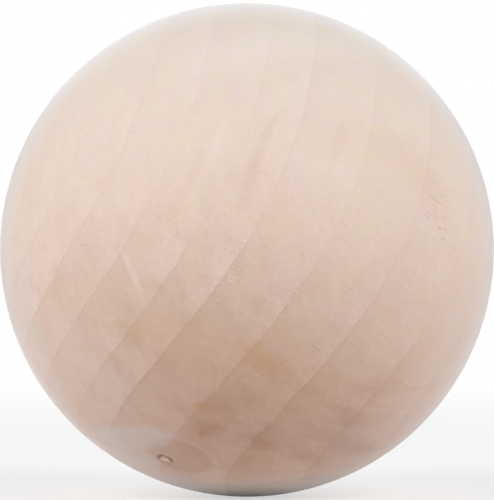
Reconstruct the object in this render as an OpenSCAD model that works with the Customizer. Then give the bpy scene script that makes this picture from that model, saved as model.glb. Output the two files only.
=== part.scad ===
// Turned wooden ball, one solid piece.
// The origin is the ball's centre, +Z is up and -Y is the front.
// The grain runs close along the turning axis, and one end of that axis shows low on the front.

/* [Ball] */
// Diameter of the ball
ball_d = 50; // [30:1:60]

/* [Turning axis] */
// Lean of the turning axis from the upright, at its lower end
pole_lean = 35; // [0:1:90]
// Turn of that lower end about the upright, from the front towards the left
pole_turn = 28; // [-180:1:180]

/* [Dressed cap] */
// Diameter of the cap that was dressed by hand after the turning stub was cut off
cap_d = 6.6; // [5:0.1:12]
// Radius of the cap's own curve, which is flatter than the ball
cap_curve_r = 60; // [35:1:200]
// Nose radius of the tool that scored the ring at the cap's edge
ring_nose_r = 0.5; // [0.2:0.05:1]
// Depth of the scored ring
ring_depth = 0.03; // [0.02:0.01:0.15]

/* [Torn scar] */
// Distance of the scar from the middle of the cap
scar_offset = 2.0; // [0:0.1:2.4]
// Bearing of the scar about the turning axis
scar_bearing = 195; // [0:5:360]
// Width of the scar's main hollow
scar_w = 1.5; // [0.8:0.1:2.4]
// Depth of the main hollow
scar_depth = 0.45; // [0.2:0.05:0.7]
// Distance from the main hollow to the small hole beside it
hole_offset = 0.55; // [0.3:0.05:1.2]
// Bearing of the small hole from the main hollow
hole_bearing = 335; // [0:5:360]
// Width of the small hole
hole_w = 0.8; // [0.3:0.05:0.9]
// Depth of the small hole
hole_depth = 0.5; // [0.2:0.05:0.7]

/* [Hidden] */

$fn = 180;
ball_r = ball_d / 2;
cap_r = cap_d / 2;
// Angle at the ball's centre from the turning axis to the cap's edge
edge_angle = asin(cap_r / ball_r);
// Height of the cap's edge along the turning axis, above the ball's centre
edge_h = ball_r * cos(edge_angle);
// Centre of the cap's curve on the turning axis, beyond the ball's centre
cap_centre_h = edge_h - sqrt(pow(cap_curve_r, 2) - pow(cap_r, 2));
wood = [0.88, 0.80, 0.73];

// Height of the dressed cap's surface at a distance from the turning axis
function cap_h(distance) = cap_centre_h + sqrt(pow(cap_curve_r, 2) - pow(distance, 2));

// Radius of the round cutter that leaves a hollow of this width and depth
function hollow_r(width, depth) = (pow(width / 2, 2) + pow(depth, 2)) / (2 * depth);

// Lays +Z along the turning axis, towards its lower end at the front
module along_pole() {
    rotate([180 - pole_lean, 0, -pole_turn]) children();
}

// The turned round with its one dressed cap
module turned_round() {
    intersection() {
        sphere(d = ball_d);
        translate([0, 0, cap_centre_h]) sphere(r = cap_curve_r);
    }
}

// The ring that a round-nosed tool scored along the cap's edge
module scored_ring() {
    reach = ball_r + ring_nose_r - ring_depth;
    rotate_extrude()
        translate([reach * sin(edge_angle), reach * cos(edge_angle)])
            circle(r = ring_nose_r);
}

// A round hollow torn into the cap, at a place given from the turning axis
module torn_hollow(place, width, depth) {
    r = hollow_r(width, depth);
    translate([place.x, place.y, cap_h(norm(place)) + r - depth]) sphere(r = r);
}

// The scar of the snapped stub: a main hollow and a small hole beside it
module stub_scar() {
    scar = scar_offset * [cos(scar_bearing), sin(scar_bearing)];
    hole = scar + hole_offset * [cos(hole_bearing), sin(hole_bearing)];
    torn_hollow(scar, scar_w, scar_depth);
    torn_hollow(hole, hole_w, hole_depth);
}

// The whole ball
module ball() {
    color(wood)
        along_pole()
            difference() {
                turned_round();
                scored_ring();
                stub_scar();
            }
}

ball();
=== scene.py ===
import math
import random

import bpy
import numpy as np
from bpy.props import FloatProperty, FloatVectorProperty, PointerProperty
from bpy.types import Operator, Panel, PropertyGroup
from mathutils import Matrix, Vector, noise


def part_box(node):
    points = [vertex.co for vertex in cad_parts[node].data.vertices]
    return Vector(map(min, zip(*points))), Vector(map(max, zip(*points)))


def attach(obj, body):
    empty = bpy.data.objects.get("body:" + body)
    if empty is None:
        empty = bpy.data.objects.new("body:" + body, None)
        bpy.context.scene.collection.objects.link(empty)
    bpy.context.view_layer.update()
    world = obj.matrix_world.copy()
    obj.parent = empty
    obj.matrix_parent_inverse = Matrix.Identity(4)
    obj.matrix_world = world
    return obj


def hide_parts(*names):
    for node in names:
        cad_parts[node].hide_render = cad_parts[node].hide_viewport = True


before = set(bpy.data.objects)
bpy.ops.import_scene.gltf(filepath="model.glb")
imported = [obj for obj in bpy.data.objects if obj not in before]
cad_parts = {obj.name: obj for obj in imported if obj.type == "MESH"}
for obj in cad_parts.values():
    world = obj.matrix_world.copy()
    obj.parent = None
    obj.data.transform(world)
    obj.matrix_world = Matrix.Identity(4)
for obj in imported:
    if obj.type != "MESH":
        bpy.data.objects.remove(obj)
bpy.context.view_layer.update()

bl_info = {
    "name": "Turned wooden ball",
    "version": (1, 0, 0),
    "blender": (4, 5, 0),
    "location": "View3D > Sidebar > Wooden ball",
    "description": "Dresses a turned ball of bare sanded hardwood and sets up its small studio",
    "category": "Object",
}

MM = 0.001
PER_MM = 1000.0
BALL_LOW, BALL_HIGH = (Vector(corner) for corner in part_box("ball"))
BALL_MIDDLE = (BALL_LOW + BALL_HIGH) / 2
BALL_R = min(BALL_HIGH - BALL_LOW) / 2

# ---------------------------------------------------------------- what a user would change


def linear(red, green, blue):
    """A colour as the eye reads it, 0 to 255, turned into the light values that shaders use."""
    levels = (channel / 255 for channel in (red, green, blue))
    return tuple(v / 12.92 if v <= 0.04045 else ((v + 0.055) / 1.055) ** 2.4 for v in levels)


def length(name, text, default, low, high):
    """A size in metres, with its limits."""
    limits = {"min": low, "max": high}
    return FloatProperty(
        name=name, description=text, default=default, unit="LENGTH", precision=5, **limits
    )


def angle(name, text, degrees):
    """An angle, given in degrees."""
    turn = math.radians(degrees)
    return FloatProperty(name=name, description=text, default=turn, subtype="ANGLE")


def colour(name, text, *levels):
    """A colour, given as the eye reads it."""
    light = linear(*levels)
    return FloatVectorProperty(
        name=name, description=text, default=light, subtype="COLOR", min=0, max=1
    )


def share(name, text, default, high=1.0):
    """A plain share, factor or power."""
    return FloatProperty(name=name, description=text, default=default, min=0.0, max=high)


class TurnedShape(PropertyGroup):
    """The ball's turned form and the marks at the end of its turning axis."""

    pole_lean: angle("Axis lean", "Lean of the turning axis from the upright", 35)
    pole_turn: angle("Axis turn", "Turn of its lower end from the front to the left", 28)
    cap_d: length("Cap width", "Width of the dressed cap", 6.6 * MM, 5 * MM, 12 * MM)
    cap_curve_r: length("Cap curve", "Radius of the cap's curve", 60 * MM, 35 * MM, 200 * MM)
    ring_nose_r: length("Ring tool nose", "Nose radius of the ring tool", 0.5 * MM, 0.2 * MM, MM)
    ring_depth: length("Ring depth", "Depth of the scored ring", 0.03 * MM, 0.02 * MM, 0.15 * MM)
    scar_offset: length("Scar offset", "Scar to cap middle", 2.0 * MM, 0, 2.4 * MM)
    scar_bearing: angle("Scar bearing", "Bearing of the scar about the turning axis", 195)
    scar_w: length("Scar width", "Width of the main hollow", 1.5 * MM, 0.8 * MM, 2.4 * MM)
    scar_depth: length("Scar depth", "Depth of the main hollow", 0.45 * MM, 0.2 * MM, 0.7 * MM)
    hole_offset: length("Hole offset", "Main hollow to small hole", 0.55 * MM, 0.3 * MM, 1.2 * MM)
    hole_bearing: angle("Hole bearing", "Bearing of the small hole from the main hollow", 335)
    hole_w: length("Hole width", "Width of the small hole", 0.8 * MM, 0.3 * MM, 0.9 * MM)
    hole_depth: length("Hole depth", "Depth of the small hole", 0.5 * MM, 0.2 * MM, 0.7 * MM)


class WoodLook(PropertyGroup):
    """The grain and the colours of the bare wood."""

    fibre_lean: angle("Fibre lean", "Lean of the fibres from the upright", 31)
    fibre_turn: angle("Fibre turn", "Turn of the upper fibre ends from the back to the right", 39)
    straw: colour("Straw tone", "The yellower of the two main tones", 215, 207, 187)
    rosy: colour("Rosy tone", "The pinker of the two main tones", 216, 200, 198)
    early: colour("Early wood", "Colour of the wood that starts each year", 222, 211, 204)
    late: colour("Late wood", "Colour of the darker clouds, streaks and mottle", 206, 187, 171)
    line: colour("Year line", "Colour of the dark close and end line of a year", 182, 159, 141)
    pith_fleck: colour("Pith fleck", "Colour of the brown flecks along the fibres", 192, 159, 141)
    stain: colour("Stain", "Colour of the ochre stains", 198, 166, 127)
    brown: colour("Brown", "Colour of the brown mottling and dark scratches", 168, 133, 113)
    # Pale also paints the sheen at the top of the ball.
    pale: colour("Pale wood", "Colour of pale places and raised sanding lines", 229, 220, 216)
    # Greyish patches, and also the painted sheen down both sides and the painted highlight on the
    # scored ring's edge.
    grey_and_highlight: colour("Ashen wood", "Colour of greyish patches and the rubbed edge", 209, 217, 219)
    dressed: colour("Dressed wood", "Colour of the end grain on the cap", 186, 164, 150)
    # Dirt in the scar; the same colour paints shade at its lip and in its depths.
    dirt_and_shade: colour("Dirt", "Colour of the dirt that sits in the scar", 132, 98, 78)
    # A broad grey darkening low on the front of the ball.
    low_grey: colour("Grime", "Colour of the grey bloom low on the front", 140, 128, 124)
    torn: colour("Torn wood", "Colour of the torn wood inside the scar", 253, 246, 238)
    # The bloom is a painted sheen: this pale colour is mixed into the wood's colour where the surface
    # turns away from the view.
    bloom: colour("Bloom", "Colour of the sanded fibres' sheen at a low angle", 219, 225, 234)
    sheen: share("Sheen", "Strength of the shader's own sheen", 0.6)


class StageLook(PropertyGroup):
    """The floor, the camera and the lamps."""

    floor: colour("Floor", "Colour of the plain floor", 246, 246, 246)
    near: colour("Near bounce", "Colour given back by the floor before the ball", 217, 188, 176)
    far: colour("Far bounce", "Colour given back by the floor behind or under the ball", 249, 249, 249)
    glow: share("Floor glow", "Share of plain white in the floor as it is seen", 0.6)
    front: share("Front lamps", "Power of each lamp high before the ball, in watts", 3.19, 20)
    sides: share("Side lamps", "Middle power of the lamps beside the ball, in watts", 1.28, 20)
    low: share("Low lamps", "Power of each low lamp behind the ball, in watts", 0.35, 20)
    back: share("Back lamp", "Power of the lamp above and behind the ball, in watts", 0.36, 20)
    behind: share("Rear lamp", "Power of the lamp far behind the ball, in watts", 0.75, 20)
    sky: share("Sky", "Strength of the soft light all round", 0.0, 5)
    camera_d: length("Camera distance", "Camera to the ball's middle", 0.45, 0.1, 2)
    fill: share("Fill", "Share of the picture's height that the ball fills", 0.987)


# ---------------------------------------------------------------- the turned mesh

# Spacing of the mesh lines: fine over the cap and its scar, wider over the rest of the ball.
FINE_STEP = 0.1 * MM
FINE_REACH = 3.8 * MM
STEP_GROWTH = 1.13
COARSE_STEP = 0.52 * MM
# Free strip round each patch of the unwrapped map, as a share of the patch.
MAP_GUTTER = 0.012
# The torn wood in the scar: how far it stands or sinks, its grain, the finer grain in it as a
# share of that, the share of each, and how far it makes the scar's edge ragged.
TORN_DEPTH = 0.09 * MM
TORN_GRAIN = 0.28 * MM
TORN_FINER = 0.45
TORN_SHARES = (0.65, 0.35)
RAGGED_EDGE = 0.16
# Broken fibre ends left standing in the scar's main hollow: distance from its middle, bearing in
# degrees, and radius.
FIBRE_ENDS = (
    (0.79 * MM, 230, 0.34 * MM),
    (0.61 * MM, 276, 0.3 * MM),
    (0.61 * MM, 63, 0.22 * MM),
)
# Depth of their tops below the cap, and the share of their radius that their flanks take.
FIBRE_END_TOP = 0.06 * MM
FIBRE_END_FLANK = 0.35


def pole_frame(shape):
    """Turns the turning axis's own frame, with its marked end up, into the ball's frame."""
    lean = Matrix.Rotation(math.pi - shape.pole_lean, 3, "X")
    return Matrix.Rotation(-shape.pole_turn, 3, "Z") @ lean


def graded_lines(half_turn):
    """Angles of mesh lines from -half_turn to half_turn, closest together in the middle."""
    reach, step, places = 0.0, FINE_STEP, [0.0]
    while reach < half_turn * BALL_R:
        if reach > FINE_REACH:
            step = min(step * STEP_GROWTH, COARSE_STEP)
        reach += step
        places.append(reach)
    fine = sum(1 for place in places if place <= FINE_REACH)
    stretch = (half_turn * BALL_R - places[fine - 1]) / (places[-1] - places[fine - 1])
    outer = [places[fine - 1] + (place - places[fine - 1]) * stretch for place in places[fine:]]
    half = [place / BALL_R for place in places[:fine] + outer]
    return [-a for a in reversed(half[1:])] + half


def even_lines(half_turn):
    """Angles of evenly spaced mesh lines from -half_turn to half_turn."""
    count = round(2 * half_turn * BALL_R / COARSE_STEP)
    return [half_turn * (2 * i / count - 1) for i in range(count + 1)]


def box_skin(lines):
    """Lattice corners, quads and map cells of a box's skin, with the given lines along X, Y, Z."""
    numbers, corners, quads, cells = {}, [], [], []
    last = [len(line) - 1 for line in lines]

    def corner(*place):
        if place not in numbers:
            numbers[place] = len(corners)
            corners.append(place)
        return numbers[place]

    for side in range(6):
        out, high = divmod(side, 2)
        u, v = ((out + 1) % 3, (out + 2) % 3) if high else ((out + 2) % 3, (out + 1) % 3)
        for i in range(last[u]):
            for j in range(last[v]):
                quad = []
                for du, dv in ((0, 0), (1, 0), (1, 1), (0, 1)):
                    place = [0, 0, 0]
                    place[out], place[u], place[v] = high * last[out], i + du, j + dv
                    quad.append(corner(*place))
                    cells.append((side, u, i + du, v, j + dv))
                quads.append(quad)
    return corners, quads, cells


def hollow(middle, width, depth, shape):
    """Centre and radius of the round cutter that tears a hollow into the cap."""
    cap_r, curve_r = shape.cap_d / 2, shape.cap_curve_r
    centre_h = math.sqrt(BALL_R**2 - cap_r**2) - math.sqrt(curve_r**2 - cap_r**2)
    cap_h = centre_h + math.sqrt(curve_r**2 - middle.length_squared)
    cutter_r = ((width / 2) ** 2 + depth**2) / (2 * depth)
    return Vector((middle.x, middle.y, cap_h + cutter_r - depth)), cutter_r


def bearing(radius, turn):
    """A place on a plane at a distance and a bearing."""
    return Vector((radius * math.cos(turn), radius * math.sin(turn)))


def scar_hollows(shape):
    """The two hollows of the scar, each as centre and radius."""
    scar = bearing(shape.scar_offset, shape.scar_bearing)
    hole = scar + bearing(shape.hole_offset, shape.hole_bearing)
    return (
        hollow(scar, shape.scar_w, shape.scar_depth, shape),
        hollow(hole, shape.hole_w, shape.hole_depth, shape),
    )


def enter_round(along, centre, radius, ragged):
    """Distance along each direction at which it first enters a ragged sphere, or infinity."""
    radius *= ragged
    middle = along @ np.array(centre)
    inside = radius**2 - centre.length_squared + middle**2
    return np.where(inside > 0, middle - np.sqrt(np.maximum(inside, 0)), np.inf)


def dressed_surface(along, shape):
    """Distance to the dressed surface along directions in the turning axis's frame."""
    cap_r, curve_r = shape.cap_d / 2, shape.cap_curve_r
    edge = math.asin(cap_r / BALL_R)
    centre_h = BALL_R * math.cos(edge) - math.sqrt(curve_r**2 - cap_r**2)
    up = along[:, 2]
    cap = centre_h * up + np.sqrt((centre_h * up) ** 2 - centre_h**2 + curve_r**2)
    surface = np.minimum(BALL_R, cap)
    tube_h = BALL_R + shape.ring_nose_r - shape.ring_depth
    off = np.arccos(np.clip(up, -1, 1)) - edge
    bite = shape.ring_nose_r**2 - (tube_h * np.sin(off)) ** 2
    groove = np.where(bite > 0, tube_h * np.cos(off) - np.sqrt(np.maximum(bite, 0)), np.inf)
    return np.minimum(surface, groove)


def torn(place, grain):
    """Rough torn fibres at a place, from -1 to 1."""
    main, finer = TORN_SHARES
    return main * noise.noise(place / grain) + finer * noise.noise(place / (grain * TORN_FINER))


def fibre_ends(shape):
    """Middles on the cap's plane and radii of the broken fibre ends."""
    scar = bearing(shape.scar_offset, shape.scar_bearing)
    return [(scar + bearing(off, math.radians(turn)), radius) for off, turn, radius in FIBRE_ENDS]


def torn_depth(spot, depth, ends):
    """Depth of the torn wood at a spot where the hollows alone are this deep."""
    for middle, radius in ends:
        off = (spot.xy - middle).length / radius
        flank = min(1, max(0, (1 - off) / FIBRE_END_FLANK))
        depth -= flank * max(0, depth - FIBRE_END_TOP)
    return depth - TORN_DEPTH * torn(spot, TORN_GRAIN) * min(1, depth / TORN_DEPTH)


def ball_points(along, shape):
    """Points of the whole surface in the turning axis's frame, with the torn scar."""
    surface = dressed_surface(along, shape)
    hollows, ends = scar_hollows(shape), fibre_ends(shape)
    reach = math.cos(2 * hollows[0][1] / BALL_R)
    for i in np.nonzero(along @ np.array(hollows[0][0].normalized()) > reach)[0]:
        spot = Vector(along[i]) * BALL_R
        ragged = 1 + RAGGED_EDGE * torn(spot, 2 * TORN_GRAIN)
        cut = min(enter_round(along[i : i + 1], *cutter, ragged)[0] for cutter in hollows)
        if cut < surface[i]:
            surface[i] -= torn_depth(spot, surface[i] - cut, ends)
    return along * surface[:, None]


def map_place(cell, lines):
    """Place of a face corner on the unwrapped map: six patches in two rows of three."""
    side, u, i, v, j = cell
    quarter = math.pi / 4
    across = (lines[u][i] / quarter * (1 - MAP_GUTTER) + 1) / 2
    up = (lines[v][j] / quarter * (1 - MAP_GUTTER) + 1) / 2
    return (side % 3 + across) / 3, (side // 3 + up) / 2


def turned_mesh(shape):
    """The ball's closed mesh, with its lines gathered at the dressed cap."""
    quarter = math.pi / 4
    lines = [graded_lines(quarter), graded_lines(quarter), even_lines(quarter)]
    corners, quads, cells = box_skin(lines)
    slope = np.array([[math.tan(lines[axis][at[axis]]) for axis in range(3)] for at in corners])
    along = slope / np.linalg.norm(slope, axis=1)[:, None]
    points = ball_points(along, shape) @ np.array(pole_frame(shape)).T
    mesh = bpy.data.meshes.new("ball_turned")
    mesh.from_pydata((points + np.array(BALL_MIDDLE)).tolist(), [], quads)
    layer = mesh.uv_layers.new(name="OFBake")
    layer.data.foreach_set("uv", [value for cell in cells for value in map_place(cell, lines)])
    mesh.shade_smooth()
    mesh.update()
    return mesh


# ---------------------------------------------------------------- node helpers


# Sockets of the Mix node that carry its factor, its two colours and its result.
MIX_FACTOR, MIX_FIRST, MIX_SECOND, MIX_RESULT = 0, 6, 7, 2
# How far apart the nodes are laid out, and how many stand in a column.
NODE_WIDTH = 220
NODE_HEIGHT = 190
NODE_ROWS = 6


class Tree:
    """Adds nodes to one node tree, feeding each from sockets or plain values."""

    KINDS = {"VALUE": "NodeSocketFloat", "VECTOR": "NodeSocketVector"}

    def __init__(self, tree):
        self.tree = tree
        self.count = 0

    def add(self, kind, *fed, **settings):
        """A new node, with its first sockets fed in order."""
        node = self.tree.nodes.new("ShaderNode" + kind)
        column, row = divmod(self.count, NODE_ROWS)
        node.location = (NODE_WIDTH * column, -NODE_HEIGHT * row)
        self.count += 1
        for name, value in settings.items():
            setattr(node, name, value)
        for socket, value in zip(node.inputs, fed):
            self.feed(socket, value)
        return node

    def feed(self, socket, value):
        """Links a socket to another, or gives it a plain value."""
        if isinstance(value, bpy.types.NodeSocket):
            self.tree.links.new(value, socket)
        elif value is not None:
            socket.default_value = value

    def math(self, operation, *fed, clamp=False):
        """The result of a sum on numbers."""
        return self.add("Math", *fed, operation=operation, use_clamp=clamp).outputs[0]

    def vector(self, operation, *fed):
        """The result of a sum on vectors."""
        node = self.add("VectorMath", *fed, operation=operation)
        number = operation in ("DOT_PRODUCT", "LENGTH", "DISTANCE")
        return node.outputs["Value" if number else "Vector"]

    def ramp(self, value, low, high, first=0.0, last=1.0, kind="SMOOTHSTEP"):
        """A number that goes from first to last while the value goes from low to high."""
        node = self.add("MapRange", value, low, high, first, last, interpolation_type=kind)
        return node.outputs[0]

    def noise(self, place, scale=1.0, detail=2.0):
        """Smooth noise at a place."""
        node = self.add("TexNoise")
        self.feed(node.inputs["Vector"], place)
        for name, value in (("Scale", scale), ("Detail", detail)):
            node.inputs[name].default_value = value
        return node.outputs["Fac"]

    def mix(self, factor, first, second):
        """A first colour, with a second one over it by a factor."""
        node = self.add("Mix", data_type="RGBA")
        self.feed(node.inputs[MIX_FACTOR], factor)
        self.feed(node.inputs[MIX_FIRST], first)
        self.feed(node.inputs[MIX_SECOND], second)
        return node.outputs[MIX_RESULT]


def group_tree(name, inputs, outputs):
    """A new node group with named sockets: its tree, what goes in and where results go."""
    group = bpy.data.node_groups.new(name, "ShaderNodeTree")
    for label, kind in inputs.items():
        group.interface.new_socket(name=label, in_out="INPUT", socket_type=Tree.KINDS[kind])
    for label, kind in outputs.items():
        group.interface.new_socket(name=label, in_out="OUTPUT", socket_type=Tree.KINDS[kind])
    tree = Tree(group)
    given = group.nodes.new("NodeGroupInput").outputs
    result = group.nodes.new("NodeGroupOutput").inputs
    return tree, given, result


def use_group(tree, name, **fed):
    """Places a group in a tree and feeds its named sockets."""
    node = tree.add("Group", node_tree=bpy.data.node_groups[name])
    for label, value in fed.items():
        tree.feed(node.inputs[label.replace("_", " ")], value)
    return node.outputs


# ---------------------------------------------------------------- the grain

# The pith, or middle of the trunk, at its nearest to the ball's middle, in millimetres.
PITH_MM = Vector((27.3, -1.0, -9.9))
# How the rings bow and flare along the trunk, per millimetre.
TRUNK_BOW = 0.0059
TRUNK_FLARE = 0.00012
# Radius at which distances round the trunk are true, in millimetres.
TRUNK_TRUE_R = 40.0
# Sanding marks round the turning axis: lines per millimetre, and dashes per radian of turn.
SANDING_LINES = 5.0
SANDING_DASHES = 18.0
# Noise values at which a dash starts and is full, as a raised line and as a scored one.
RAISED_DASH = (0.6, 0.78)
SCORED_DASH = (0.4, 0.24)
# The dashes come in patches: how often these change per metre, their noise values from thin to
# full, and the share of the dashes that thin patches and the ball's left side keep.
PATCHES = 260.0
PATCH_RAMP = (0.36, 0.62, 0.25, 1.0)
LEFT_REACH = 0.7
LEFT_SHARE = 0.45
# How the rings stray from true circles, in changes per millimetre out, round and along: in long
# swells, in fine teeth, and in how strongly each shows.
SWELL_STRETCH = (0.02, 0.16, 0.13)
TEETH_STRETCH = (0.7, 2.6, 1.6)
FADE_STRETCH = (0.05, 0.11, 0.09)
# Noise values, and the strengths there, between which a ring fades and its end line breaks up.
FADE_RAMP = (0.34, 0.6, 0.8, 1.15)
BREAK_RAMP = (0.38, 0.62, 0.0, 1.7)
# Where each year ended, from the pith outwards in millimetres, and how clearly it shows.
YEAR_ENDS = (
    (10.5, 0.5),
    (17.2, 0.8),
    (24.7, 0.95),
    (31.4, 0.85),
    (37.2, 1.2),
    (40.7, 0.65),
    (44.7, 0.8),
    (47.8, 0.8),
    (50.5, 0.5),
    (53.2, 0.6),
    (56.0, 0.6),
)


def fibre_axis(wood):
    """Direction of the fibres, upper end first."""
    flat = math.sin(wood.fibre_lean)
    side, back = flat * math.sin(wood.fibre_turn), flat * math.cos(wood.fibre_turn)
    return Vector((side, back, math.cos(wood.fibre_lean)))


def make_trunk_place(wood):
    """Group: a place on the ball, as millimetres from the pith, round it and along the fibres."""
    tree, given, result = group_tree(
        "Place in the trunk", {"Position": "VECTOR"}, {"Place": "VECTOR", "End grain": "VALUE"}
    )
    fibre = fibre_axis(wood)
    pith = PITH_MM - fibre * PITH_MM.dot(fibre)
    outward = -pith.normalized()
    round_way = fibre.cross(outward)
    place = tree.vector("MULTIPLY", given["Position"], (PER_MM, PER_MM, PER_MM))
    along = tree.vector("DOT_PRODUCT", place, fibre)
    off = tree.vector("SUBTRACT", place, pith)
    out = tree.vector("DOT_PRODUCT", off, outward)
    side = tree.vector("DOT_PRODUCT", off, round_way)
    side_square = tree.math("MULTIPLY", side, side)
    radius = tree.math("SQRT", tree.math("MULTIPLY_ADD", out, out, side_square))
    square = tree.math("MULTIPLY", along, along)
    bowed = tree.math("MULTIPLY_ADD", square, TRUNK_BOW, radius)
    cube = tree.math("MULTIPLY", square, along)
    flared = tree.math("MULTIPLY_ADD", cube, TRUNK_FLARE, bowed)
    turn = tree.math("MULTIPLY", tree.math("ARCTAN2", side, out), TRUNK_TRUE_R)
    tree.feed(result["Place"], tree.add("CombineXYZ", flared, turn, along).outputs[0])
    tree.feed(result["End grain"], tree.math("DIVIDE", along, -BALL_R * PER_MM))


def make_growth_rings():
    """Group: the pale start, the dark close and the thin end line of each year."""
    sizes = ("Waviness", "Jaggedness", "Pale width", "Dark width", "Line width")
    tree, given, result = group_tree(
        "Growth rings",
        {"Place": "VECTOR", **dict.fromkeys(sizes, "VALUE")},
        dict.fromkeys(("Pale", "Dark", "Line"), "VALUE"),
    )
    radius = tree.add("SeparateXYZ", given["Place"]).outputs[0]
    swell = tree.noise(tree.vector("MULTIPLY", given["Place"], SWELL_STRETCH), detail=2.0)
    teeth = tree.noise(tree.vector("MULTIPLY", given["Place"], TEETH_STRETCH), detail=3.0)
    for shift, amount in ((swell, given["Waviness"]), (teeth, given["Jaggedness"])):
        radius = tree.math("MULTIPLY_ADD", tree.math("SUBTRACT", shift, 0.5), amount, radius)
    ends = ((0.0, 0.0), *YEAR_ENDS)
    outer, inner, closing, opening = YEAR_ENDS[0][0], 0.0, YEAR_ENDS[0][1], 0.0
    for before, here, after in zip(ends, ends[1:], ends[2:]):
        passed = tree.math("GREATER_THAN", radius, here[0])
        outer = tree.math("MULTIPLY_ADD", passed, after[0] - here[0], outer)
        inner = tree.math("MULTIPLY_ADD", passed, here[0] - before[0], inner)
        closing = tree.math("MULTIPLY_ADD", passed, after[1] - here[1], closing)
        opening = tree.math("MULTIPLY_ADD", passed, here[1] - before[1], opening)
    grown = tree.math("SUBTRACT", inner, radius)
    left = tree.math("SUBTRACT", radius, outer)
    faded = tree.noise(tree.vector("MULTIPLY", given["Place"], FADE_STRETCH), detail=2.0)
    faded = tree.ramp(faded, *FADE_RAMP)
    broken = tree.ramp(teeth, *BREAK_RAMP)
    for name, edge, width, force in (
        ("Pale", grown, given["Pale width"], opening),
        ("Dark", left, given["Dark width"], closing),
        ("Line", left, given["Line width"], closing),
    ):
        near = tree.math("EXPONENT", tree.math("DIVIDE", edge, width))
        shown = tree.math("MULTIPLY", near, tree.math("MULTIPLY", force, faded))
        tree.feed(result[name], tree.math("MULTIPLY", shown, broken) if name == "Line" else shown)


# Parts of the small grain: how often each varies out, round and along the trunk in a millimetre,
# how finely it breaks up, and the noise values at which it starts and is full.
FIBRE_PARTS = {
    "Clouds": ((0.14, 0.3, 0.2), 3.0, 0.3, 0.7),
    "Blush": ((0.45, 0.6, 0.4), 5.0, 0.3, 0.7),
    "Bruises": ((0.3, 0.42, 0.34), 4.0, 0.48, 0.72),
    "Streaks": ((1.2, 1.5, 0.22), 2.0, 0.3, 0.7),
    "Mottle": ((0.8, 1.1, 0.7), 5.0, 0.3, 0.7),
    "Pores": ((4.4, 5.0, 3.0), 1.0, 0.67, 0.77),
    "Fuzz": ((2.6, 3.0, 2.2), 4.0, 0.25, 0.75),
    "Specks": ((4.2, 5.0, 3.6), 1.0, 0.68, 0.78),
}
# Sets the parts apart in the noise, so that no two of them fall in step.
PART_SHIFT = (3.1, 7.7, 11.3)


def make_fibres():
    """Group: the small grain, as clouds, streaks along the fibres, pores and loose fibre ends."""
    parts = dict.fromkeys(FIBRE_PARTS, "VALUE")
    tree, given, result = group_tree("Fibres", {"Place": "VECTOR"}, parts)
    for name, (stretch, detail, low, high) in FIBRE_PARTS.items():
        place = tree.vector("MULTIPLY", given["Place"], stretch)
        own = zip(PART_SHIFT, (detail, low, stretch[2]))
        place = tree.vector("ADD", place, [shift * value for shift, value in own])
        part = tree.noise(place, detail=detail)
        tree.feed(result[name], tree.ramp(part, low, high, kind="LINEAR"))


def make_mark():
    """Group: a long soft mark on the surface, such as a fleck, a stain or a scratch."""
    places = dict.fromkeys(("Position", "Centre", "Direction"), "VECTOR")
    sizes = dict.fromkeys(("Half length", "Half width", "Ragged", "Softness"), "VALUE")
    tree, given, result = group_tree("Mark", {**places, **sizes}, {"Mask": "VALUE"})
    off = tree.vector("SUBTRACT", given["Position"], given["Centre"])
    run = tree.vector("DOT_PRODUCT", off, given["Direction"])
    reach = tree.vector("LENGTH", off)
    run_square = tree.math("MULTIPLY", run, run)
    rest = tree.math("SUBTRACT", tree.math("MULTIPLY", reach, reach), run_square)
    rest = tree.math("MAXIMUM", rest, 0.0)
    far = tree.math("DIVIDE", run, given["Half length"])
    wide = tree.math("DIVIDE", tree.math("SQRT", rest), given["Half width"])
    size = tree.math("SQRT", tree.math("MULTIPLY_ADD", far, far, tree.math("MULTIPLY", wide, wide)))
    size = tree.math("ADD", size, given["Ragged"])
    start = tree.math("SUBTRACT", 1.0, given["Softness"])
    end = tree.math("ADD", 1.0, given["Softness"])
    tree.feed(result["Mask"], tree.ramp(size, start, end, 1.0, 0.0))


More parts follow.
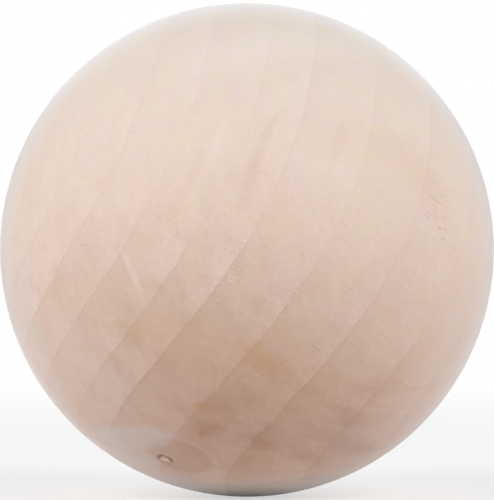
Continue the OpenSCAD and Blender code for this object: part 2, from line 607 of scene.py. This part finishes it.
def make_pole_place(shape):
    """Group: a place's angle from the turning axis, bearing about it, depth and sanding marks."""
    values = dict.fromkeys(("Lean", "Bearing", "Cap depth", "Raised", "Scored"), "VALUE")
    tree, given, result = group_tree("Place about the axis", {"Position": "VECTOR"}, values)
    across, forward, up = (pole_frame(shape) @ Vector(axis) for axis in np.eye(3))
    height = tree.vector("DOT_PRODUCT", given["Position"], up)
    side = tree.vector("DOT_PRODUCT", given["Position"], across)
    front = tree.vector("DOT_PRODUCT", given["Position"], forward)
    flat = tree.vector("LENGTH", tree.add("CombineXYZ", side, front, 0.0).outputs[0])
    lean = tree.math("ARCTAN2", flat, height)
    turn = tree.math("ARCTAN2", front, side)
    tree.feed(result["Lean"], lean)
    tree.feed(result["Bearing"], turn)
    cap_r, curve_r = shape.cap_d / 2, shape.cap_curve_r
    centre_h = math.sqrt(BALL_R**2 - cap_r**2) - math.sqrt(curve_r**2 - cap_r**2)
    from_centre = tree.vector("DISTANCE", given["Position"], up * centre_h)
    tree.feed(result["Cap depth"], tree.math("SUBTRACT", curve_r, from_centre))
    ring = tree.math("MULTIPLY", lean, SANDING_LINES * BALL_R * PER_MM)
    east = tree.math("MULTIPLY", tree.math("COSINE", turn), SANDING_DASHES)
    north = tree.math("MULTIPLY", tree.math("SINE", turn), SANDING_DASHES)
    dashes = tree.noise(tree.add("CombineXYZ", ring, east, north).outputs[0], detail=1.0)
    patchy = tree.noise(given["Position"], scale=PATCHES, detail=2.0)
    patchy = tree.ramp(patchy, *PATCH_RAMP)
    sideways = tree.add("SeparateXYZ", given["Position"]).outputs["X"]
    coarse = tree.ramp(sideways, -LEFT_REACH * BALL_R, 0.0, LEFT_SHARE, 1.0)
    patchy = tree.math("MULTIPLY", patchy, coarse)
    for name, dash in (("Raised", RAISED_DASH), ("Scored", SCORED_DASH)):
        tree.feed(result[name], tree.math("MULTIPLY", tree.ramp(dashes, *dash), patchy))


# ---------------------------------------------------------------- the wood


def front_place(across, up):
    """A place on the ball's front, given in millimetres across and up from its middle."""
    across, up = across * MM, up * MM
    return Vector((across, -math.sqrt(BALL_R**2 - across**2 - up**2), up))


# Heights of the sanded surface's relief.
FUZZ_HEIGHT = 0.009 * MM
SANDING_HEIGHT = 0.005 * MM
PORE_DEPTH = 0.008 * MM
SPECK_HEIGHT = 0.01 * MM
# Its roughness, and what the mottle and the fuzz add to that.
ROUGHNESS = 0.62
MOTTLE_ROUGHNESS = -0.06
FUZZ_ROUGHNESS = 0.08
# The wood's refraction, the spread of the shader's own sheen, and the low angle to the view at which
# the pale bloom, a painted sheen mixed into the wood's colour, starts and is full, with its strength
# at both.
WOOD_IOR = 1.45
SHEEN_ROUGHNESS = 0.35
PAINTED_SHEEN_RAMP = (0.6, 0.88, 0.0, 0.42)

# Raggedness of the marks' edges: how often it changes per metre, and its full swing.
RAGGED_GRAIN = 1300.0
RAGGED_SWING = 2.5
# Marks on the front, each from one end to the other in millimetres across and up, then its half
# width, how ragged and how soft its edge is, its colour and its strength.
MARKS = (
    # brown flecks along the fibres, and a pale one
    ((-0.3, 4.9), (0.9, 8.5), 0.75, 0.25, 0.6, "pith_fleck", 0.2),
    ((0.7, 8.0), (2.3, 11.8), 0.55, 0.25, 0.6, "pith_fleck", 0.16),
    ((1.5, 10.8), (3.2, 13.3), 0.4, 0.3, 0.6, "pith_fleck", 0.12),
    ((-5.5, 6.4), (-4.4, 9.5), 0.5, 0.3, 0.7, "pith_fleck", 0.14),
    ((8.5, 8.8), (9.3, 11.5), 0.6, 0.3, 0.7, "pith_fleck", 0.16),
    ((-7.6, 2.8), (-6.1, 6.3), 0.5, 0.4, 0.8, "pith_fleck", 0.1),
    ((-3.2, 9.1), (-2.3, 12.4), 0.4, 0.4, 0.8, "early", 0.3),
    # ochre stains beside the year lines
    ((0.4, -9.4), (1.5, -8.6), 0.4, 0.5, 0.8, "stain", 0.3),
    ((1.4, -6.4), (5.8, -8.8), 1.7, 0.5, 0.9, "stain", 0.13),
    ((10.6, 11.2), (17.0, 7.6), 2.6, 0.4, 0.9, "stain", 0.14),
    ((15.6, 9.2), (19.0, 4.2), 1.7, 0.4, 0.9, "stain", 0.12),
    ((0.1, -9.7), (3.0, -11.2), 1.2, 0.6, 0.9, "stain", 0.5),
    ((1.9, -10.9), (2.3, -11.3), 0.6, 0.6, 0.9, "stain", 0.35),
    ((-4.7, -15.1), (-3.8, -15.4), 0.5, 0.5, 0.8, "stain", 0.6),
    ((-11.9, -7.8), (-9.4, -8.0), 0.8, 0.6, 0.9, "stain", 0.25),
    ((-8.4, -6.5), (-7.0, -6.9), 0.5, 0.6, 0.9, "stain", 0.22),
    ((-16.6, -9.5), (-14.8, -9.7), 0.5, 0.6, 0.9, "stain", 0.12),
    ((-9.3, -7.2), (4.2, -13.1), 3.2, 0.3, 0.9, "stain", 0.19),
    # brown and grey mottling low on the front
    ((-4.2, -15.5), (-0.8, -14.7), 1.6, 0.5, 0.9, "brown", 0.2),
    ((-3.6, -18.4), (5.0, -17.8), 1.9, 0.4, 0.9, "low_grey", 0.14),
    ((11.8, -13.8), (14.0, -13.0), 1.5, 0.4, 0.9, "brown", 0.16),
    ((-4.4, -17.5), (-3.1, -17.3), 0.9, 0.5, 0.9, "brown", 0.45),
    ((-4.6, -18.1), (-4.3, -17.9), 0.4, 0.4, 0.8, "brown", 0.4),
    ((0.7, -18.5), (2.0, -19.2), 0.9, 0.5, 0.9, "brown", 0.42),
    ((9.1, -15.6), (11.0, -17.1), 1.1, 0.6, 0.9, "brown", 0.4),
    ((7.3, -18.0), (9.5, -19.2), 1.4, 0.6, 0.9, "brown", 0.45),
    ((5.2, -19.8), (6.8, -20.7), 1.1, 0.6, 0.9, "brown", 0.4),
    ((10.7, -19.3), (12.4, -19.8), 1.0, 0.6, 0.9, "brown", 0.32),
    ((-3.6, -20.0), (0.5, -21.6), 2.2, 0.4, 0.9, "brown", 0.3),
    # soft pale places at the top and down both sides, a painted sheen towards the ball's edge
    ((-4.0, 18.4), (8.6, 20.4), 2.6, 0.5, 0.9, "pale", 0.26),
    ((-22.0, -2.0), (-19.4, -12.6), 1.9, 0.3, 0.9, "grey_and_highlight", 0.26),
    ((-17.6, -8.4), (-16.2, -13.6), 2.2, 0.4, 0.9, "grey_and_highlight", 0.22),
    ((20.6, -7.6), (15.4, -16.6), 2.2, 0.4, 0.9, "grey_and_highlight", 0.18),
    # pale patches beside the cap, and small marks on it
    ((-13.9, -18.6), (-9.0, -18.3), 1.8, 0.2, 0.3, "grey_and_highlight", 0.68),
    ((-13.2, -20.2), (-10.4, -20.5), 1.8, 0.3, 0.6, "grey_and_highlight", 0.6),
    ((-14.0, -12.1), (-11.6, -14.5), 2.6, 0.4, 0.9, "grey_and_highlight", 0.22),
    ((-15.0, -16.4), (-13.4, -15.6), 1.6, 0.4, 0.9, "grey_and_highlight", 0.26),
    ((-8.4, -19.8), (-6.6, -17.4), 1.2, 0.4, 0.9, "grey_and_highlight", 0.18),
    ((7.7, -18.4), (12.7, -18.1), 2.6, 0.4, 0.9, "grey_and_highlight", 0.2),
    ((-2.7, -19.1), (-1.6, -20.4), 0.8, 0.5, 0.9, "grey_and_highlight", 0.25),
    ((-7.6, -21.0), (-7.4, -21.1), 0.14, 0.3, 0.8, "brown", 0.6),
    ((-3.6, -20.9), (-2.4, -21.2), 0.14, 0.4, 0.8, "grey_and_highlight", 0.35),
    ((-3.1, -20.5), (-2.9, -21.5), 0.14, 0.4, 0.8, "grey_and_highlight", 0.35),
    # scratches and dents
    ((-11.8, -0.6), (-10.9, -2.7), 0.4, 0.4, 0.8, "early", 0.4),
    ((-10.9, -2.3), (-10.1, -4.6), 0.28, 0.4, 0.8, "early", 0.3),
    ((-12.3, -0.5), (-11.3, -2.9), 0.16, 0.4, 0.7, "brown", 0.16),
    ((-15.6, -8.9), (-12.5, -8.8), 0.07, 0.6, 0.6, "pale", 0.4),
    ((-14.0, -6.7), (-12.8, -6.7), 0.06, 0.6, 0.6, "pale", 0.35),
    ((6.1, -9.0), (7.2, -9.9), 0.08, 0.4, 0.6, "brown", 0.4),
    # the longest chatter mark on the right and three specks below it
    ((17.9, 5.3), (18.7, 4.6), 0.09, 0.4, 0.9, "brown", 0.26),
    ((18.6, 4.65), (19.6, 4.2), 0.09, 0.4, 0.9, "brown", 0.2),
    ((18.8, 2.15), (18.95, 2.1), 0.09, 0.3, 0.8, "brown", 0.4),
    ((19.15, 1.12), (19.3, 1.1), 0.09, 0.3, 0.8, "brown", 0.4),
    ((18.85, 0.55), (18.95, 0.5), 0.08, 0.3, 0.8, "brown", 0.3),
)

# The short chatter marks on the right, in millimetres and degrees: their middle and spread across
# and up, their count and seed, the least and most of their lean, half length and half width, how
# ragged and soft they are, and their colours with their strengths.
CHATTER_MIDDLE = (18.7, 3.0)
CHATTER_SPREAD = (0.75, 1.6)
CHATTER_COUNT = 26
CHATTER_SEED = 11
CHATTER_LEAN = (-62.0, -24.0)
CHATTER_HALF_LENGTH = (0.12, 0.36)
CHATTER_HALF_WIDTH = (0.06, 0.1)
CHATTER_EDGE = (0.4, 0.9)
CHATTER_TINTS = (("brown", 0.26), ("pale", 0.34))


def chatter_marks():
    """Short soft marks scattered over one patch, some brown and some pale."""
    draws = random.Random(CHATTER_SEED)
    patch = list(zip(CHATTER_MIDDLE, CHATTER_SPREAD))
    marks = []
    for _ in range(CHATTER_COUNT):
        x, y = [draws.gauss(middle, spread) for middle, spread in patch]
        lean = math.radians(draws.uniform(*CHATTER_LEAN))
        half = draws.uniform(*CHATTER_HALF_LENGTH)
        across, up = half * math.cos(lean), half * math.sin(lean)
        colouring = draws.choice(CHATTER_TINTS)
        half_width = draws.uniform(*CHATTER_HALF_WIDTH)
        first, last = (x - across, y - up), (x + across, y + up)
        marks.append((first, last, half_width, *CHATTER_EDGE, *colouring))
    return marks


def add_marks(tree, wood, position, base):
    """Lays the marks over a base colour."""
    grain = (RAGGED_GRAIN, RAGGED_GRAIN, RAGGED_GRAIN)
    ragged = tree.noise(tree.vector("MULTIPLY", position, grain), detail=3.0)
    ragged = tree.math("MULTIPLY", tree.math("SUBTRACT", ragged, 0.5), RAGGED_SWING)
    for first, last, half_width, rough, soft, tint, strength in (*MARKS, *chatter_marks()):
        start, end = front_place(*first), front_place(*last)
        mask = use_group(
            tree,
            "Mark",
            Position=position,
            Centre=(start + end) / 2,
            Direction=(end - start).normalized(),
            Half_length=(end - start).length / 2 + half_width * MM,
            Half_width=half_width * MM,
            Ragged=tree.math("MULTIPLY", ragged, rough),
            Softness=soft,
        )["Mask"]
        base = tree.mix(tree.math("MULTIPLY", mask, strength), base, (*getattr(wood, tint), 1))
    return base


# Where the cap's darker end grain ends, as shares of the cap's own angle, and its strength.
DRESSED_END = (0.85, 1.05)
DRESSED_STRENGTH = 0.6
# The painted highlight on the scored ring's edge, a pale arc on the side that catches the light: its
# angle and half width as shares of the cap's angle, its bearing in radians about the axis, how far it
# runs from there at full strength and in all, and its strength.
HIGHLIGHT_PLACE = 1.04
HIGHLIGHT_HALF_WIDTH = 0.2
HIGHLIGHT_BEARING = 0.55
HIGHLIGHT_RUN = (0.2, 0.9)
HIGHLIGHT_STRENGTH = 0.42


def cap_angle(shape):
    """Angle at the ball's middle from the turning axis to the cap's edge."""
    return math.asin(shape.cap_d / 2 / BALL_R)


def dress_cap(tree, wood, shape, pole, base):
    """Darkens the dressed end grain of the cap and paints a pale highlight on one side of its edge."""
    edge = cap_angle(shape)
    inner, outer = DRESSED_END
    on_cap = tree.ramp(pole["Lean"], inner * edge, outer * edge, 1.0, 0.0)
    on_cap = tree.math("MULTIPLY", on_cap, DRESSED_STRENGTH)
    base = tree.mix(on_cap, base, (*wood.dressed, 1))
    # Painted highlight: a pale arc on one side of the scored ring's edge.
    off_rim = tree.math("SUBTRACT", pole["Lean"], HIGHLIGHT_PLACE * edge)
    off_rim = tree.math("ABSOLUTE", off_rim)
    ring_highlight = tree.ramp(off_rim, 0.0, HIGHLIGHT_HALF_WIDTH * edge, 1.0, 0.0)
    off_side = tree.math("ABSOLUTE", tree.math("SUBTRACT", pole["Bearing"], HIGHLIGHT_BEARING))
    ring_highlight = tree.math("MULTIPLY", ring_highlight, tree.ramp(off_side, *HIGHLIGHT_RUN, 1.0, 0.0))
    return tree.mix(tree.math("MULTIPLY", ring_highlight, HIGHLIGHT_STRENGTH), base, (*wood.grey_and_highlight, 1))


# The part of the cap that may hold the scar, as shares of the cap's angle.
SCAR_GROUND = (0.8, 0.9)
# Depths below the cap between which the lip with its dirt and painted shade, the torn wood and the
# painted shade of the depths begin.
LIP_DEPTHS = (0.01 * MM, 0.04 * MM)
TORN_DEPTHS = (0.04 * MM, 0.08 * MM)
SHADE_DEPTHS = (0.3 * MM, 0.38 * MM)
LIP_STRENGTH = 0.4
SHADE_STRENGTH = 0.55
# The torn wood is pale within these distances of a point this far below the cap's edge plane.
FRESH_REACH = (0.4 * MM, 0.65 * MM)
FRESH_DEPTH = 0.1 * MM
# Unevenness in depth of the torn shreds inside the scar, and how often they change per metre.
SHRED_DEPTH = 0.14 * MM
SHREDS = 2200.0


def add_scar(tree, wood, shape, position, pole, base):
    """Colours the torn wood inside the scar, with dirt and painted shade at its lip and painted shade
    in its depths.
    """
    edge = cap_angle(shape)
    inner, outer = SCAR_GROUND
    on_cap = tree.ramp(pole["Lean"], inner * edge, outer * edge, 1.0, 0.0)
    deep = tree.math("MULTIPLY", pole["Cap depth"], on_cap)
    # Dirt and painted shade over the hollow, from its lip inwards.
    lip = tree.ramp(deep, *LIP_DEPTHS)
    base = tree.mix(tree.math("MULTIPLY", lip, LIP_STRENGTH), base, (*wood.dirt_and_shade, 1))
    ends = [middle for middle, _ in fibre_ends(shape)]
    fresh = (ends[0] + ends[1]) / 2
    fresh = Vector((fresh.x, fresh.y, BALL_R * math.cos(edge) - FRESH_DEPTH))
    off_fresh = tree.vector("DISTANCE", position, pole_frame(shape) @ fresh)
    bright = tree.ramp(off_fresh, *FRESH_REACH, 1.0, 0.0)
    shreds = tree.math("SUBTRACT", tree.noise(position, scale=SHREDS), 0.5)
    uneven = tree.math("MULTIPLY", tree.math("MULTIPLY_ADD", shreds, SHRED_DEPTH, deep), lip)
    inside = tree.math("MULTIPLY", tree.ramp(uneven, *TORN_DEPTHS), bright)
    base = tree.mix(inside, base, (*wood.torn, 1))
    # Painted shade in the scar's deepest part.
    shade = tree.ramp(uneven, *SHADE_DEPTHS, 0.0, SHADE_STRENGTH)
    return tree.mix(shade, base, (*wood.dirt_and_shade, 1))


# The growth rings: swing of their swells and teeth, and the widths over which the pale start, the
# dark close and the end line die away, in millimetres.
RING_VALUES = {
    "Waviness": 0.7,
    "Jaggedness": 0.5,
    "Pale_width": 1.9,
    "Dark_width": 2.4,
    "Line_width": 0.12,
}
# How the grain's strength grows towards the end grain: where that starts and is full, as shares
# of the ball's radius along the fibres, the strength at both, and the kind of ramp.
GROWTH = {
    "lower": (-0.3, 0.75, 0.6, 1.9, "LINEAR"),
    "lowest": (0.1, 0.7, 0.0, 1.0, "LINEAR"),
    "ringed": (0.22, 0.75, 0.6, 4.2, "SMOOTHSTEP"),
}
# Layers of colour over the two main tones, from first to last: mask, growth, strength and colour.
TONE_LAYERS = (
    ("Pale", "ringed", 0.36, "early"),
    ("Dark", "ringed", 0.12, "line"),
    ("Line", "ringed", 0.2, "line"),
    ("Clouds", "lower", 0.3, "late"),
    ("Streaks", "lower", 0.16, "late"),
    ("Mottle", "lower", 0.3, "late"),
    ("Bruises", "lowest", 0.2, "brown"),
    ("Pores", "lower", 0.22, "brown"),
    ("Scored", "lower", 0.1, "brown"),
    ("Raised", "lower", 0.24, "pale"),
    ("Specks", "lower", 0.4, "early"),
)


def wood_colour(tree, wood, shape, position, spot, pole, fibres):
    """The bare wood's colour, with painted sheen, highlight and shade laid over it by the marks, cap
    and scar.
    """
    rings = use_group(tree, "Growth rings", Place=spot["Place"], **RING_VALUES)
    masks = {name: put[name] for put in (rings, fibres, pole) for name in put.keys()}
    grown = {name: tree.ramp(spot["End grain"], *ramp) for name, ramp in GROWTH.items()}
    tone = tree.mix(fibres["Blush"], (*wood.straw, 1), (*wood.rosy, 1))
    for mask, growth, strength, tint in TONE_LAYERS:
        amount = tree.math("MULTIPLY", masks[mask], grown[growth])
        amount = tree.math("MULTIPLY", amount, strength, clamp=True)
        tone = tree.mix(amount, tone, (*getattr(wood, tint), 1))
    tone = dress_cap(tree, wood, shape, pole, tone)
    tone = add_marks(tree, wood, position, tone)
    return add_scar(tree, wood, shape, position, pole, tone)


def wood_height(tree, pole, fibres):
    """The relief of the sanded surface, in metres."""
    height = tree.math("MULTIPLY", fibres["Fuzz"], FUZZ_HEIGHT)
    height = tree.math("MULTIPLY_ADD", pole["Raised"], SANDING_HEIGHT, height)
    height = tree.math("MULTIPLY_ADD", pole["Scored"], -SANDING_HEIGHT, height)
    height = tree.math("MULTIPLY_ADD", fibres["Pores"], -PORE_DEPTH, height)
    return tree.math("MULTIPLY_ADD", fibres["Specks"], SPECK_HEIGHT, height)


def bare_wood(wood, shape):
    """The ball's material: bare hardwood, turned and sanded."""
    material = bpy.data.materials.new("bare_sanded_wood")
    material.use_nodes = True
    material.node_tree.nodes.clear()
    tree = Tree(material.node_tree)
    position = tree.add("TexCoord").outputs["Object"]
    spot = use_group(tree, "Place in the trunk", Position=position)
    pole = use_group(tree, "Place about the axis", Position=position)
    fibres = use_group(tree, "Fibres", Place=spot["Place"])
    rough = tree.math("MULTIPLY_ADD", fibres["Mottle"], MOTTLE_ROUGHNESS, ROUGHNESS)
    rough = tree.math("MULTIPLY_ADD", fibres["Fuzz"], FUZZ_ROUGHNESS, rough)
    bump = tree.add("Bump")
    bump.inputs["Strength"].default_value = 1.0
    bump.inputs["Distance"].default_value = 1.0
    tree.feed(bump.inputs["Height"], wood_height(tree, pole, fibres))
    tone = wood_colour(tree, wood, shape, position, spot, pole, fibres)
    # Painted sheen: the bloom colour mixed into the wood's colour at a low angle to the view.
    painted_sheen = tree.ramp(tree.add("LayerWeight").outputs["Facing"], *PAINTED_SHEEN_RAMP)
    shader = tree.add("BsdfPrincipled")
    tree.feed(shader.inputs["Base Color"], tree.mix(painted_sheen, tone, (*wood.bloom, 1)))
    tree.feed(shader.inputs["Roughness"], rough)
    tree.feed(shader.inputs["Normal"], bump.outputs[0])
    shader.inputs["IOR"].default_value = WOOD_IOR
    shader.inputs["Sheen Weight"].default_value = wood.sheen
    shader.inputs["Sheen Roughness"].default_value = SHEEN_ROUGHNESS
    output = tree.add("OutputMaterial")
    tree.feed(output.inputs["Surface"], shader.outputs[0])
    return material


class WOODBALL_OT_ball(Operator):
    """Turn the ball: its closed mesh with the dressed cap and torn scar, and its bare wood"""

    bl_idname = "wooden_ball.ball"
    bl_label = "Turned ball"

    def execute(self, context):
        shape, wood = context.scene.ball_shape, context.scene.ball_wood
        make_trunk_place(wood)
        make_growth_rings()
        make_fibres()
        make_mark()
        make_pole_place(shape)
        ball = bpy.data.objects.new("turned_ball", turned_mesh(shape))
        ball.data.materials.append(bare_wood(wood, shape))
        context.scene.collection.objects.link(ball)
        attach(ball, "root")
        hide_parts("ball")
        return {"FINISHED"}


# ---------------------------------------------------------------- the stage

# Half the floor's side.
FLOOR_HALF = 3.0
# Distances from the ball's foot at which the floor begins to pale and shows as plain white.
FLOOR_PALE = 2 * BALL_R
FLOOR_WHITE = 0.4
# The floor right under the ball gives back the plainer light, out to these distances.
UNDER_REACH = (0.25 * BALL_R, 0.78 * BALL_R)
# Width of the camera's sensor, which spans the picture's longer side, in millimetres.
SENSOR_MM = 36.0
# Each lamp's name, place, width, the setting that holds its power, and its share of that.
LAMPS = (
    ("front_left", (-0.42, -0.42, 0.42), 0.45, "front", 1.0),
    ("front_right", (0.42, -0.42, 0.42), 0.45, "front", 1.0),
    ("side_left", (-0.6, -0.05, 0.14), 0.45, "sides", 1.13),
    ("side_right", (0.6, -0.05, 0.14), 0.45, "sides", 0.87),
    ("low_left", (-0.5, 0.35, 0.13), 0.28, "low", 1.0),
    ("low_right", (0.5, 0.35, 0.13), 0.28, "low", 1.0),
    ("back", (0.0, 0.4, 0.5), 0.45, "back", 1.0),
    ("behind", (0.0, 0.66, 0.13), 0.45, "behind", 1.0),
)


def seen_directly(tree):
    """1 where the camera, a reflection or clear glass shows the surface, 0 where it only lights."""
    path = tree.add("LightPath").outputs
    seen = tree.math("MAXIMUM", path["Is Camera Ray"], path["Is Glossy Ray"])
    return tree.math("MAXIMUM", seen, path["Is Transmission Ray"])


def floor_material(look):
    """A plain floor that shows pale and gives the ball a softer light back."""
    material = bpy.data.materials.new("plain_floor")
    material.use_nodes = True
    material.node_tree.nodes.clear()
    tree = Tree(material.node_tree)
    seen = seen_directly(tree)
    place = tree.add("TexCoord").outputs["Object"]
    behind = tree.ramp(tree.add("SeparateXYZ", place).outputs["Y"], 0.0, BALL_R)
    out = tree.vector("LENGTH", tree.vector("MULTIPLY", place, (1.0, 1.0, 0.0)))
    under = tree.ramp(out, *UNDER_REACH, 1.0, 0.0)
    bounce = tree.mix(tree.math("MAXIMUM", behind, under), (*look.near, 1), (*look.far, 1))
    surface = tree.add("BsdfDiffuse", tree.mix(seen, bounce, (*look.floor, 1)))
    glow = tree.add("Emission", (1, 1, 1, 1), 1.0)
    away = tree.ramp(out, FLOOR_PALE, FLOOR_WHITE, look.glow, 1.0)
    white = tree.math("MULTIPLY", seen, away)
    shown = tree.add("MixShader", white, surface.outputs[0], glow.outputs[0])
    output = tree.add("OutputMaterial")
    tree.feed(output.inputs["Surface"], shown.outputs[0])
    return material


def lay_floor(context, look):
    """The floor under the ball."""
    low, high = -FLOOR_HALF, FLOOR_HALF
    outline = ((low, low), (high, low), (high, high), (low, high))
    corners = [(x, y, BALL_LOW.z) for x, y in outline]
    mesh = bpy.data.meshes.new("floor")
    mesh.from_pydata(corners, [], [(0, 1, 2, 3)])
    mesh.materials.append(floor_material(look))
    floor = bpy.data.objects.new("floor", mesh)
    context.scene.collection.objects.link(floor)


def hang_lamp(context, name, place, width, power):
    """A soft round lamp that faces the ball."""
    data = bpy.data.lights.new(name, "AREA")
    data.shape = "DISK"
    data.size = width
    data.energy = power
    lamp = bpy.data.objects.new(name, data)
    lamp.location = place
    lamp.rotation_euler = (-Vector(place)).to_track_quat("-Z", "Y").to_euler()
    context.scene.collection.objects.link(lamp)


def light_world(context, look):
    """Even soft light all round, seen as plain white behind the floor."""
    world = bpy.data.worlds.new("studio")
    world.use_nodes = True
    world.node_tree.nodes.clear()
    tree = Tree(world.node_tree)
    strength = tree.ramp(seen_directly(tree), 0.0, 1.0, look.sky, 1.0, kind="LINEAR")
    background = tree.add("Background", (1, 1, 1, 1), strength)
    output = tree.add("OutputWorld")
    tree.feed(output.inputs["Surface"], background.outputs[0])
    context.scene.world = world


def set_camera(context, look):
    """A long-lens camera, level with the ball's middle and straight in front of it."""
    data = bpy.data.cameras.new("camera")
    data.sensor_width = SENSOR_MM
    half_view = math.asin(BALL_R / look.camera_d)
    data.lens = look.fill * SENSOR_MM / 2 / math.tan(half_view)
    camera = bpy.data.objects.new("camera", data)
    camera.location = BALL_MIDDLE - Vector((0, look.camera_d, 0))
    camera.rotation_euler = (math.pi / 2, 0, 0)
    context.scene.collection.objects.link(camera)
    context.scene.camera = camera


class WOODBALL_OT_stage(Operator):
    """Set up the plain floor, the soft lamps and the camera"""

    bl_idname = "wooden_ball.stage"
    bl_label = "Stage"

    def execute(self, context):
        look = context.scene.ball_stage
        lay_floor(context, look)
        light_world(context, look)
        for name, place, width, power, part in LAMPS:
            hang_lamp(context, name, place, width, getattr(look, power) * part)
        set_camera(context, look)
        context.scene.view_settings.view_transform = "Standard"
        return {"FINISHED"}


# ---------------------------------------------------------------- the add-on


class WOODBALL_PT_panel(Panel):
    """Lists the ball's and the stage's steps and settings"""

    bl_idname = "WOODBALL_PT_panel"
    bl_label = "Wooden ball"
    bl_space_type = "VIEW_3D"
    bl_region_type = "UI"
    bl_category = "Wooden ball"

    def draw(self, context):
        for step in STEPS:
            self.layout.operator(step.bl_idname)
        scene = context.scene
        for settings in (scene.ball_shape, scene.ball_wood, scene.ball_stage):
            box = self.layout.box()
            for name in settings.bl_rna.properties.keys():
                if name not in ("rna_type", "name"):
                    box.prop(settings, name)


STEPS = (WOODBALL_OT_ball, WOODBALL_OT_stage)
CLASSES = (TurnedShape, WoodLook, StageLook, *STEPS, WOODBALL_PT_panel)


def register():
    """Adds the classes and the scene's settings."""
    for each in CLASSES:
        bpy.utils.register_class(each)
    bpy.types.Scene.ball_shape = PointerProperty(type=TurnedShape)
    bpy.types.Scene.ball_wood = PointerProperty(type=WoodLook)
    bpy.types.Scene.ball_stage = PointerProperty(type=StageLook)


def unregister():
    """Takes the settings and the classes away."""
    del bpy.types.Scene.ball_stage
    del bpy.types.Scene.ball_wood
    del bpy.types.Scene.ball_shape
    for each in reversed(CLASSES):
        bpy.utils.unregister_class(each)


def main():
    """Builds the ball and its stage."""
    register()
    bpy.ops.wooden_ball.ball()
    bpy.ops.wooden_ball.stage()
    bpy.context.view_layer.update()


if __name__ == "__main__":
    main()
